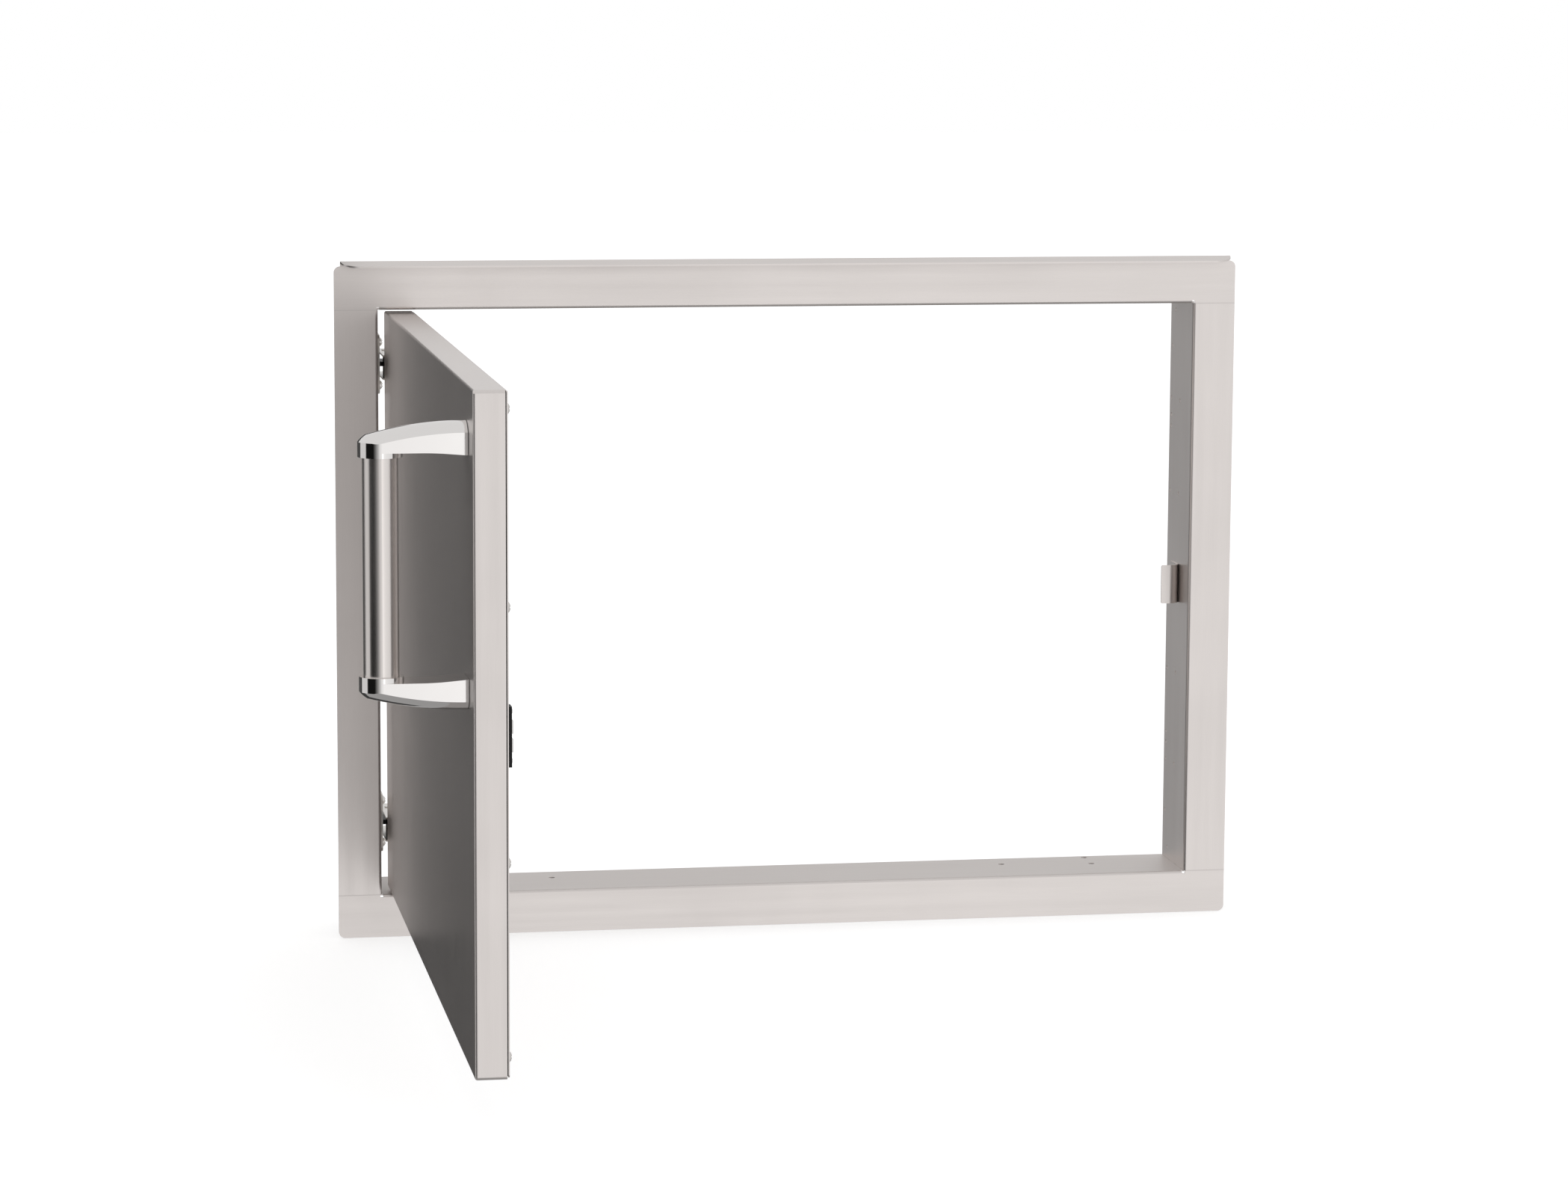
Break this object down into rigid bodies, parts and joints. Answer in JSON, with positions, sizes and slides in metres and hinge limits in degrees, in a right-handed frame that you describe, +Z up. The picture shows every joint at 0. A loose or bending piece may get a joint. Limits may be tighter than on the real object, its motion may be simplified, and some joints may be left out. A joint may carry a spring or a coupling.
{
  "type": "island access door",
  "caption": "Single stainless access door for an outdoor kitchen island, flush in a flanged frame with a drip lip, a tubular pull, concealed hinges and a magnetic catch.",
  "frame": {"origin": "middle of the opening, in the plane of the wall's face, which is the rear face of the front flange", "axes": "+X to the right seen from the front, +Y into the wall, +Z up"},
  "size_m": [0.7018, 0.6634, 0.4991],
  "materials": {
    "frame_steel": "fine brushed",
    "door_steel": "fine brushed",
    "liner_steel": "fine brushed",
    "strike_steel": "satin",
    "satin_tube": "satin turned",
    "handle_chrome": "polished",
    "inner_steel": "mill",
    "seal_strip": "matte",
    "pad_dark": "matte",
    "catch_black": "moulded",
    "pole_steel": "zinc plated",
    "magnet_dark": "sintered",
    "hinge_black": "satin black",
    "hinge_nickel": "nickel plated",
    "screw_steel": "polished"
  },
  "bodies": {
    "frame": {"bottom_rail": "frame_steel", "left_stile": "frame_steel", "lower_hinge_adjusting_screws": "screw_steel", "lower_hinge_arm": "hinge_nickel", "lower_hinge_arm_pins": "hinge_nickel", "lower_hinge_bar": "hinge_black", "lower_hinge_clip_pin": "hinge_nickel", "lower_hinge_plate": "hinge_nickel", "lower_hinge_plate_screws": "screw_steel", "right_stile": "frame_steel", "strike_plate": "strike_steel", "top_rail": "frame_steel", "upper_hinge_adjusting_screws": "screw_steel", "upper_hinge_arm": "hinge_nickel", "upper_hinge_arm_pins": "hinge_nickel", "upper_hinge_bar": "hinge_black", "upper_hinge_clip_pin": "hinge_nickel", "upper_hinge_plate": "hinge_nickel", "upper_hinge_plate_screws": "screw_steel"},
    "door": {"catch_body": "catch_black", "catch_magnet": "magnet_dark", "catch_poles": "pole_steel", "catch_screws": "screw_steel", "door_liner": "liner_steel", "door_seal": "seal_strip", "door_skin": "door_steel", "handle_backing_plate": "inner_steel", "handle_lower_arm": "handle_chrome", "handle_pads": "pad_dark", "handle_screws": "screw_steel", "handle_tube": "satin_tube", "handle_upper_arm": "handle_chrome", "hinge_backing_plates": "inner_steel", "liner_screws": "screw_steel", "lower_hinge_cup": "hinge_nickel", "lower_hinge_cup_screws": "screw_steel", "upper_hinge_cup": "hinge_nickel", "upper_hinge_cup_screws": "screw_steel"},
    "upper_outer_link": {"upper_hinge_outer_link": "hinge_nickel", "upper_hinge_outer_link_pin": "hinge_nickel"},
    "upper_inner_link": {"upper_hinge_inner_link": "hinge_nickel", "upper_hinge_inner_link_pins": "hinge_nickel"},
    "lower_outer_link": {"lower_hinge_outer_link": "hinge_nickel", "lower_hinge_outer_link_pin": "hinge_nickel"},
    "lower_inner_link": {"lower_hinge_inner_link": "hinge_nickel", "lower_hinge_inner_link_pins": "hinge_nickel"}
  },
  "joints": [
    {"name": "door_swing", "type": "hinge", "parent": "frame", "child": "door", "pos_m": [-0.2896, 0.0078, 0], "axis": [0, 0, 1], "range_deg": [-15, 90]},
    {"name": "upper_outer_link_turn", "type": "hinge", "parent": "frame", "child": "upper_outer_link", "pos_m": [-0.27228, 0.02583, 0.1718], "axis": [0, 0, 1], "range_deg": [-43.26, 7.38]},
    {"name": "upper_inner_link_turn", "type": "hinge", "parent": "frame", "child": "upper_inner_link", "pos_m": [-0.26497, 0.02663, 0.1718], "axis": [0, 0, 1], "range_deg": [-18.4, 3.23]},
    {"name": "lower_outer_link_turn", "type": "hinge", "parent": "frame", "child": "lower_outer_link", "pos_m": [-0.27228, 0.02583, -0.1718], "axis": [0, 0, 1], "range_deg": [-43.26, 7.38]},
    {"name": "lower_inner_link_turn", "type": "hinge", "parent": "frame", "child": "lower_inner_link", "pos_m": [-0.26497, 0.02663, -0.1718], "axis": [0, 0, 1], "range_deg": [-18.4, 3.23]}
  ],
  "couplings": [
    {"joint": "upper_outer_link_turn", "follows": "door_swing", "ratio": -0.47843},
    {"joint": "upper_inner_link_turn", "follows": "door_swing", "ratio": -0.20224},
    {"joint": "lower_outer_link_turn", "follows": "door_swing", "ratio": -0.47843},
    {"joint": "lower_inner_link_turn", "follows": "door_swing", "ratio": -0.20224}
  ]
}
